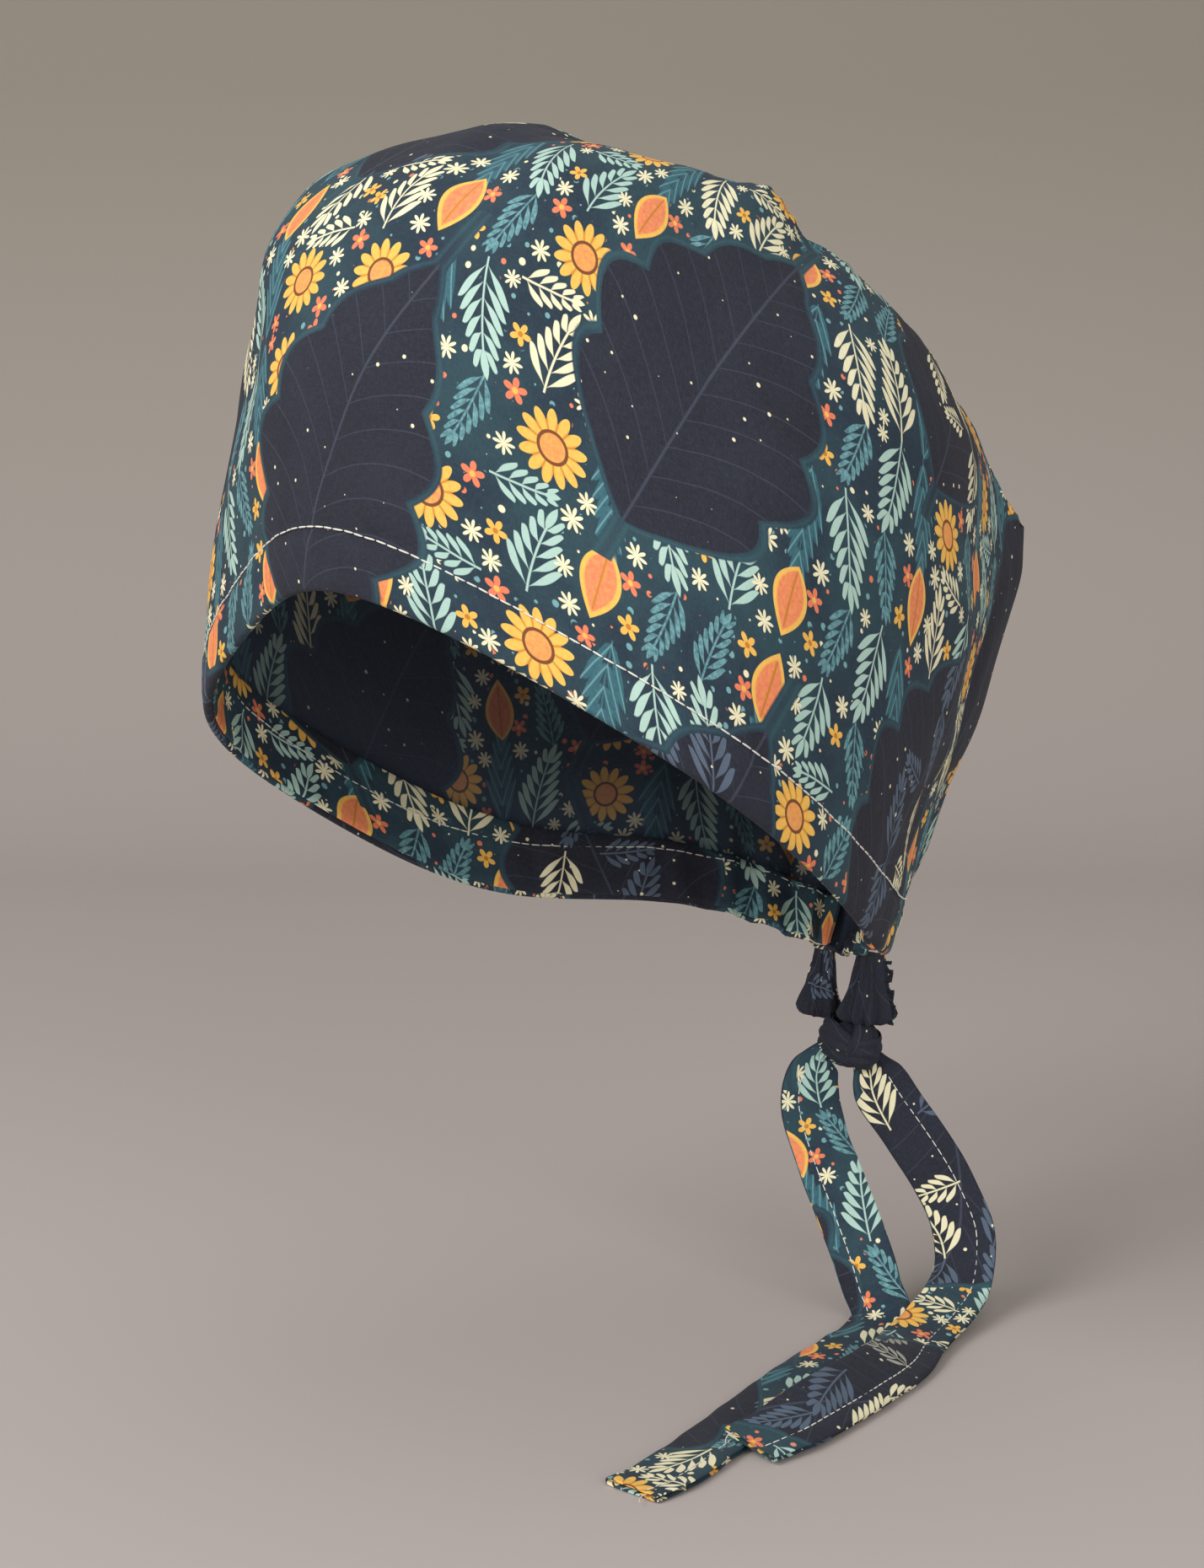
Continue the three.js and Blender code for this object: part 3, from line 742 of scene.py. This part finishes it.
def seam_roll(degrees, seed):
    """How far from its corner the cloth starts to turn, a little uneven"""
    roll = SEAM_ROLL + 0.25 * wander(degrees * SEAM_PER_DEGREE, 0 * degrees, 8, seed)
    roll[-1] = roll[0]
    return roll


def seam_edge(corner, way, inward, roll):
    """The cloth turns over the seam's edge on a soft curve and goes in as its allowance"""
    points = []
    start = corner + way * roll[..., None]
    pull = corner + way * 0.1
    end = corner + inward * roll[..., None] * 1.1 + way * 0.16
    for t in (0.25, 0.5, 0.75, 1.0):
        points.append(start * (1 - t) ** 2 + pull * 2 * t * (1 - t) + end * t * t)
    points.append(end + inward * 3.0 + way * 0.3)
    return np.stack(points, 1)


def side_band():
    degrees = np.linspace(-180, 180, BAND_COLUMNS + 1)
    hem_rise = FOLD_RADIUS / WALL_LENGTH
    fold = np.linspace(0, np.pi, 8)[:-1]
    rises = np.concatenate([hem_rise * (1 - np.sin(fold)), np.linspace(hem_rise, 0.988, WALL_STEPS)])
    depths = np.concatenate([FOLD_RADIUS * (1 + np.cos(fold)), np.zeros(WALL_STEPS)])
    grid, rise = np.meshgrid(degrees, rises, indexing="ij")
    points = outside(grid, rise, depths[None, :])
    corner, down, _, inward = seam_frame(degrees)
    edge = seam_edge(corner, down, inward, seam_roll(degrees, 5))
    points = np.concatenate([points, edge], 1)
    across = run_along(plain_wall(degrees, np.full_like(degrees, 0.45)))
    across = across - across[len(across) // 2]
    piece = lay_cloth("cap_band", points, print_map(across[:, None], run_along(points)))
    thicken(piece)
    dress(piece, "side_band")


def crown_panel():
    degrees = np.linspace(-180, 180, 301)
    corner, _, over, inward = seam_frame(degrees)
    edge = seam_edge(corner, over, inward, seam_roll(degrees, 6))[:, ::-1]
    reaches = np.concatenate([np.linspace(0.975, 0.1, 44), [0.05, 0.0]])
    grid, reach = np.meshgrid(degrees, reaches, indexing="ij")
    points = np.concatenate([edge, crown(grid, reach)], 1)
    away = points - CROWN_MIDDLE
    pattern = np.stack([away[..., 0] + 210, away @ CROWN_ALONG + 63], -1)
    piece = lay_cloth("cap_crown", points, pattern)
    thicken(piece)
    dress(piece, "crown_panel")


def turned_hem():
    """The hem's turned-up layer, with the cloth's right side facing into the cap"""
    degrees = np.linspace(180 - HEM_OPENING, -180 + HEM_OPENING, 330)
    rises = np.concatenate([[0.008, 0.01, 0.014], np.linspace(0.02, HEM_HEIGHT - 0.004, 10), [HEM_HEIGHT]])
    depths = np.concatenate([[2.5, 2.9, 3.25], np.full(10, 3.4), [3.1]])
    grid, rise = np.meshgrid(degrees, rises, indexing="ij")
    points = outside(grid, rise, depths[None, :])
    pattern = print_map(degrees[:, None] * INNER_HEM_PER_DEGREE + 400, run_along(points) + 30)
    piece = lay_cloth("hem_casing", points, pattern)
    thicken(piece)
    dress(piece, "tie_casing")


def hem_end(name):
    """A pleated sleeve of the drawn-in hem: it flares from under the nape and turns in at the knot.
    The left one has its raw edge standing out as a ruffle"""
    end = HEM_ENDS[name]
    top, foot = np.array(end["top"]), np.array(end["foot"])
    axis = foot - top
    down = unit(axis)
    spread = np.array(end["spread"])
    wide = unit(spread - down * (spread @ down))
    deep = np.cross(down, wide)
    flared = 0.86
    shares = np.concatenate([np.linspace(0, flared, 30), [0.92, 0.97, 1.0, 1.01, 0.98]])
    turned_in = np.concatenate([np.ones(30), [0.95, 0.84, 0.66, 0.45, 0.1]])
    turns = np.linspace(0, 2 * np.pi, 169)
    turn, share = np.meshgrid(turns, shares, indexing="ij")
    flare = np.minimum(share / flared, 1) ** 1.4
    half_wide = (end["top_wide"] + (end["foot_wide"] - end["top_wide"]) * flare) * turned_in
    half_deep = (end["top_deep"] + (end["foot_deep"] - end["top_deep"]) * flare) * turned_in
    place = turn + 0.09 * np.sin(3 * turn + 1) + 0.05 * np.sin(7 * turn + 6 * share)
    wave = np.cos(place * end["pleats"] + 0.8 * share) + 0.35 * np.cos(2 * place * end["pleats"] + 1)
    pleat = 1 + end["pleat"] * (0.7 + 0.5 * share) * wave + 0.05 * np.sin(9 * share + 2 * np.sin(turn))
    middle = top + axis * share[..., None] + deep * (0.5 * np.sin(5 * share))[..., None]
    points = middle + (half_wide * pleat * np.cos(turn))[..., None] * wide
    points = points + (half_deep * pleat * np.sin(turn))[..., None] * deep
    points = np.concatenate([np.broadcast_to(top, points[:, :1].shape), points], 1)
    across, up = end["print"]
    pattern = print_map((turns * 7.5)[:, None] + across, np.linspace(0, 22, points.shape[1]) + up)
    piece = lay_cloth(name + "_cloth", points, pattern)
    face_outward(piece)
    piece.data.materials.append(RIGHT_SIDE)
    if end["ruffle"]:
        run, out = np.meshgrid(np.linspace(0, 1, 160), np.linspace(0, 1, 7), indexing="ij")
        edge = top + axis * (0.08 + 0.9 * run)[..., None]
        flare = (0.08 + 0.9 * run) ** 1.4
        reach = (end["top_wide"] + (end["foot_wide"] - end["top_wide"]) * flare) * 0.82
        fold = 2 * np.pi * run * 7 + 0.9 * np.sin(9 * run)
        deepness = np.sin(fold) * (0.3 + 1.5 * out) * (0.5 + 0.6 * run)
        outward = reach + end["ruffle"] * out * (0.75 + 0.25 * np.cos(fold * 0.5 + 1))
        points = edge + wide * outward[..., None] + deep * deepness[..., None]
        pattern = np.stack([run * 30 - 10, out * 4 + 36], -1)
        ruffle = lay_cloth("ruffle", points, pattern)
        thicken(ruffle)
        join(piece, ruffle)
    smooth_shading(piece)
    dress(piece, name)


# Straps: steps between two rows of a table, and a place for the sewn line where a strap has none
STRAP_STEPS, NO_SEAM = 9, 40


def through(rows, steps):
    """A smooth curve through a strap's rows"""
    last = len(rows) - 1
    places = np.linspace(0, last, last * steps + 1)
    index = np.minimum(places.astype(int), last - 1)
    t = (places - index)[:, None]
    before, here = rows[np.maximum(index - 1, 0)], rows[index]
    after, beyond = rows[index + 1], rows[np.minimum(index + 2, last)]
    start, end = (after - before) / 2, (beyond - here) / 2
    gap = after - here
    return here + t * (start + t * (3 * gap - 2 * start - end + t * (start + end - 2 * gap)))


def strap_outline(half, thick, seam):
    """Outline of a strap folded from cloth: rounded at its fold, two layers open at its sewn edge.
    Seam holds the sewn line's place across the strap, one for each station"""
    across = np.linspace(-1, 1, 17) * half
    height = thick * (1 - 0.24 * (np.abs(across) / half) ** 6) - 0.36 * bump(across - seam[:, None], 1.0)
    flat = np.broadcast_to(across, height.shape)
    lip = np.array([
        [half + 0.12, 0.5 * thick], [half - 1.1, 0.1], [half - 1.1, -0.1], [half + 0.12, -0.5 * thick],
    ])
    fold = np.array([[-half - 0.25, -0.35 * thick], [-half - 0.32, 0], [-half - 0.25, 0.35 * thick]])
    every = (len(seam), 1)
    w = np.concatenate([flat, np.tile(lip[:, 0], every), flat[:, ::-1], np.tile(fold[:, 0], every)], 1)
    t = np.concatenate([height, np.tile(lip[:, 1], every), -height[:, ::-1], np.tile(fold[:, 1], every)], 1)
    return w, t


class Strap:
    """A tie laid along its table of rows, from inside the knot to its free tip"""

    def __init__(self, rows, root, seam_stops, seed):
        first = np.concatenate([root, rows[0, 3:6], [0.42]])
        stations = through(np.vstack([first, rows]), STRAP_STEPS)
        self.place = stations[:, :3]
        self.along = unit(np.gradient(self.place, axis=0))
        given = stations[:, 3:6]
        self.across = unit(given - self.along * np.sum(given * self.along, 1, keepdims=True))
        self.face = np.cross(self.along, self.across)
        self.run = run_along(self.place)
        self.share = stations[:, 6] * (1 + 0.014 * wander(self.run, 0 * self.run, 19, seed))
        self.sag = 0.13 * wander(self.run, 0 * self.run, 14, seed + 1)
        self.seam = np.interp(self.run, *zip(*seam_stops))

    def surface(self):
        w, t = strap_outline(TIE_WIDTH / 2 - 0.35, TIE_THICK / 2 - 0.12, self.seam)
        bunch = 1 - self.share[:, None]
        ripple = 1.5 * bunch * np.sin(w * 1.5 + self.run[:, None] * 0.2)
        t = t + self.sag[:, None] * np.sin(w / TIE_WIDTH * np.pi + 0.4) + ripple * (1 - (w / 9) ** 2)
        w = w * self.share[:, None]
        spread = self.across[:, None] * w[..., None]
        return self.place[:, None] + spread + self.face[:, None] * t[..., None]


def tie(name, node, strap, print_at):
    """A whole tie, closed inside the knot and open in two lips at its tip"""
    points = strap.surface()
    end = strap.place[-1]
    last = points[-1] - end
    face = strap.face[-1]
    lips = end + last * 0.95 - face * (last @ face)[:, None] * 0.55
    pocket = lips - strap.along[-1] * 3.5 - face * ((lips - end) @ face)[:, None] * 0.6
    closing = np.broadcast_to(pocket.mean(0), pocket.shape)
    opening = np.broadcast_to(strap.place[0], pocket.shape)
    rings = np.concatenate([opening[None], points, lips[None], pocket[None], closing[None]])
    rings = np.concatenate([rings, rings[:, :1]], 1)
    girth = run_along(rings[len(rings) // 2])
    down = np.concatenate([[0], strap.run, strap.run[-1] + np.array([1, 4, 6])])
    piece = lay_cloth(name, rings, print_map(girth + print_at[0], down[:, None] + print_at[1]))
    face_outward(piece)
    smooth_shading(piece, 70)
    dress(piece, node, RIGHT_SIDE)


def knot():
    """The half knot: strap turns crossing over a core of bunched cloth"""
    turn, tilt = np.meshgrid(np.linspace(0, 2 * np.pi, 73), np.linspace(np.pi, 0, 36), indexing="ij")
    swell = 0.86 + 0.09 * np.sin(3 * turn + 2.4 * tilt) + 0.035 * np.sin(11 * turn + 2 * tilt)
    girth = np.sin(tilt) * swell
    ball = np.stack([girth * np.cos(turn), girth * np.sin(turn), np.cos(tilt) * 0.92], -1)
    pattern = np.stack([turn * 5 - 9, tilt * 7 + 24], -1)
    core = lay_cloth("knot_core", KNOT_MIDDLE + ball * KNOT_HALF, pattern)
    pieces = [core]
    for number, (tipped, leaning, wide, big) in enumerate(KNOT_TURNS):
        spin = np.linspace(0, 2 * np.pi, 97)
        axle = unit(VIEW_RIGHT * math.sin(tipped) + VIEW_NEAR * leaning + np.array([0, 0, math.cos(tipped)]))
        side = unit(np.cross(axle, [0.2, 1, 0.1]))
        ring = np.cos(spin)[:, None] * side + np.sin(spin)[:, None] * np.cross(axle, side)
        radius = 1 / np.sqrt(((ring / (KNOT_HALF * big)) ** 2).sum(1)) + 0.25 * np.sin(3 * spin + number)
        middle = KNOT_MIDDLE + ring * radius[:, None]
        w, t = strap_outline(wide / 2, 0.8, 0 * spin + NO_SEAM)
        ripple = 0.32 * np.sin(w * 2.1 + 2.4 * np.sin(spin)[:, None] + number)
        lift = t - 0.05 * w**2 + ripple * (1 - (w / (wide * 0.62)) ** 2)
        w = w * (1 + 0.1 * np.sin(2 * spin + number))[:, None]
        points = middle[:, None] + axle * w[..., None] + ring[:, None] * lift[..., None]
        points = np.concatenate([points, points[:, :1]], 1)
        pattern = print_map(np.linspace(0, 30, points.shape[1]) + 9 * number - 13, (spin * 5)[:, None] + 18)
        wrap = lay_cloth(f"knot_turn_{number}", points, pattern)
        face_outward(wrap)
        pieces.append(wrap)
    join(*pieces)
    core.name = "knot_cloth"
    smooth_shading(core)
    dress(core, "tie_knot", RIGHT_SIDE)


# Stitching: one stitch each so many millimetres, and how far it stands out or sinks in
HEM_STITCH, TIE_STITCH = 2.9, 2.7
TOPSTITCH_OUT, INNER_STITCH_OUT, TIE_STITCH_IN = 0.36, 0.12, 0.42


def stitches(name, places, ways, outs, length=2.75, thick=0.4):
    """One stitch is modelled and copied along a line"""
    deselect()
    bpy.ops.mesh.primitive_uv_sphere_add(segments=6, ring_count=5, radius=0.5)
    stitch = bpy.context.object
    one = np.zeros(len(stitch.data.vertices) * 3)
    stitch.data.vertices.foreach_get("co", one)
    one = one.reshape(-1, 3)
    faces = [list(p.vertices) for p in stitch.data.polygons]
    bpy.data.objects.remove(stitch)
    pull = one[:, 2] * 2
    body = np.sign(pull) * np.abs(pull) ** 0.6 / 2 * length
    sides = np.cross(ways, outs)
    points = (places[:, None] + ways[:, None] * body[:, None] + sides[:, None] * (one[:, 0] * thick)[:, None]
              + outs[:, None] * (one[:, 1] * thick - 0.3 * (2 * body / length)**2 * thick)[:, None])
    mesh = bpy.data.meshes.new(name)
    count = len(one)
    mesh.from_pydata((points.reshape(-1, 3) * MM).tolist(), [],
                     [[v + count * k for v in face] for k in range(len(places)) for face in faces])
    piece = bpy.data.objects.new(name, mesh)
    bpy.context.collection.objects.link(piece)
    face_outward(piece)
    smooth_shading(piece, 80)
    dress(piece, None, THREAD)


def sewn_line(points, faces, pitch, side=1):
    """Places, ways and outward directions of stitches along a line, from how the cloth faces there"""
    run = run_along(points)
    at = np.arange(pitch, run[-1] - pitch / 2, pitch)
    places = on_line(at, run, points)
    ways = unit(on_line(at + 0.6, run, points) - places)
    outs = side * unit(on_line(at, run, faces))
    return places, ways, unit(outs - ways * np.sum(outs * ways, 1, keepdims=True))


def hem_stitching():
    degrees = np.linspace(-180, 180, 1441)
    rise = rise_at(degrees, STITCH_LINE + 0.4 * wander(degrees * MM_PER_DEGREE, 0 * degrees, 90, 8))
    faces = wall_normal(degrees, rise)
    places, ways, outs = sewn_line(outside(degrees, rise), faces, HEM_STITCH)
    stitches("hem_topstitch", places + outs * TOPSTITCH_OUT, ways, outs, thick=0.46)
    inner = outside(degrees, rise, INNER_HEM_DEPTH)
    keep = np.abs(turn_between(degrees, 180)) > HEM_OPENING + 1
    places, ways, outs = sewn_line(inner[keep], faces[keep], HEM_STITCH, side=-1)
    stitches("hem_inner_stitch", places + outs * INNER_STITCH_OUT, ways, outs)


def tie_stitching(name, strap, breaks):
    """Both faces of a tie show the same sewn line; breaks are the lengths between which it runs"""
    lines = []
    for start, stop in breaks:
        chosen = (strap.run > start) & (strap.run < stop)
        for side in (1, -1):
            sunk = strap.face * side * (TIE_THICK / 2 - TIE_STITCH_IN)
            line = strap.place + strap.across * (strap.seam * strap.share)[:, None] + sunk
            lines.append(sewn_line(line[chosen], strap.face[chosen], TIE_STITCH, side))
    places, ways, outs = (np.concatenate(part) for part in zip(*lines))
    stitches(name, places, ways, outs, length=2.35, thick=0.34)


def thread_tails(name, tails):
    """Loose thread ends, each through its own places"""
    strands = []
    for number, places in enumerate(tails):
        line = through(np.array(places, float), 5)
        way = unit(np.gradient(line, axis=0))
        side = unit(np.cross(way, [0.3, 0.2, 0.9]))
        around = np.linspace(0, 2 * np.pi, 7)[:, None]
        thin = 0.17 * np.linspace(1, 0.6, len(line))[:, None, None]
        ring = np.cos(around) * side[:, None] + np.sin(around) * np.cross(way, side)[:, None]
        points = line[:, None] + ring * thin
        run = np.arange(len(line))[:, None] * 0.5 + 0 * points[..., 0]
        strands.append(lay_cloth(f"strand_{number}", points, np.stack([run, run], -1)))
    piece = join(*strands)
    piece.name = name
    smooth_shading(piece, 80)
    dress(piece, None, THREAD)


# Camera and studio, in the photograph's view and in metres
VIEW_TURN, VIEW_DOWN = 43, 7.4
VIEW_PLACE = (0.4638, -0.4973, 0.037)
FOCAL_LENGTH, FRAME_HEIGHT, SENSOR = 3300, 1860, 36
LIGHT_AIM = (0, 0, -0.02)
FLOOR_HEIGHT = -0.19915
FLOOR_REACH, WALL_START, WALL_BEND, WALL_TOP = 6.0, 0.75, 0.55, 2.4


def view_camera():
    camera = bpy.data.objects.new("camera", bpy.data.cameras.new("camera"))
    bpy.context.collection.objects.link(camera)
    camera.data.sensor_width = SENSOR
    camera.data.lens = FOCAL_LENGTH / FRAME_HEIGHT * SENSOR
    camera.data.clip_start = 0.01
    camera.location = VIEW_PLACE
    camera.rotation_euler = (math.radians(90 - VIEW_DOWN), 0, math.radians(VIEW_TURN))
    bpy.context.scene.camera = camera


def studio_floor():
    """A floor that bends up into a wall behind the object"""
    deselect()
    bpy.ops.mesh.primitive_plane_add(size=1)
    floor = bpy.context.object
    floor.name = "studio_floor"
    turn = math.radians(VIEW_TURN)
    ahead = Vector((-math.sin(turn), math.cos(turn), 0))
    aside = Vector((math.cos(turn), math.sin(turn), 0))
    profile = [(-FLOOR_REACH, 0.0)]
    for k in range(13):
        a = math.pi / 2 * k / 12
        profile.append((WALL_START + WALL_BEND * math.sin(a), WALL_BEND * (1 - math.cos(a))))
    profile.append((WALL_START + WALL_BEND, WALL_TOP))
    points = []
    for away, high in profile:
        for side in (-FLOOR_REACH, FLOOR_REACH):
            points.append(ahead * away + aside * side + Vector((0, 0, high + FLOOR_HEIGHT)))
    faces = [(2 * k, 2 * k + 1, 2 * k + 3, 2 * k + 2) for k in range(len(profile) - 1)]
    mesh = bpy.data.meshes.new("studio_floor")
    mesh.from_pydata(points, [], faces)
    floor.data = mesh
    smooth_shading(floor, 80)
    board = Board("pale_studio_floor")
    place = board.read("ShaderNodeTexCoord", output="Object")
    _, _, height = board.parts("ShaderNodeSeparateXYZ", place)
    lifted = board.math("MULTIPLY_ADD", height, 2.2, 0.42, clamp=True)
    shade = board.mix(lifted, colour(180, 170, 166), colour(152, 145, 132))
    floor.data.materials.append(board.finished({"Base Color": shade, "Roughness": 0.8}))


def lights():
    for name, place, size, power in (
        ("key", (-0.2, -1.35, 0.8), 0.9, 21),
        ("fill", (1.5, -0.6, 0.4), 1.2, 12),
        ("top", (0.0, 0.1, 1.5), 1.0, 2),
    ):
        light = bpy.data.objects.new(name + "_softbox", bpy.data.lights.new(name, "AREA"))
        light.data.energy = power
        light.data.size = size
        light.location = place
        way = Vector(LIGHT_AIM) - Vector(place)
        light.rotation_euler = way.to_track_quat("-Z", "Y").to_euler()
        bpy.context.collection.objects.link(light)
    world = bpy.data.worlds.new("soft_room")
    world.use_nodes = True
    world.node_tree.nodes["Background"].inputs[0].default_value = (1, 0.99, 0.97, 1)
    world.node_tree.nodes["Background"].inputs[1].default_value = 0.45
    bpy.context.scene.world = world
    bpy.context.scene.view_settings.view_transform = "Standard"


view_camera()
studio_floor()
lights()
side_band()
crown_panel()
turned_hem()
for end_name in HEM_ENDS:
    hem_end(end_name)
knot()
right_strap = Strap(TIE_RIGHT, (-2.1, 98.4, -133.7), ((0, -3.3), (84, -3.3), (96, 3.6), (300, 3.6)), 51)
left_strap = Strap(TIE_LEFT, (2.9, 101.6, -134.5), ((0, 3.2), (300, 3.2)), 61)
tie("tie_right_strap", "tie_right", right_strap, (118, 20))
tie("tie_left_strap", "tie_left", left_strap, (80, 165))
hem_stitching()
tie_stitching("tie_right_stitch", right_strap, ((9, 84), (96, 400)))
tie_stitching("tie_left_stitch", left_strap, ((9, 400),))
tails = []
for strap, edge in ((right_strap, 0.5), (left_strap, -0.7)):
    tip = strap.place[-1] + strap.across[-1] * edge * TIE_WIDTH / 2
    out, aside = strap.along[-1], strap.across[-1]
    tails.append([tip - out * 1.5, tip + out, tip + out * 3 + aside, tip + out * 4.4 + aside * 2.4])
thread_tails("tie_thread_ends", tails)
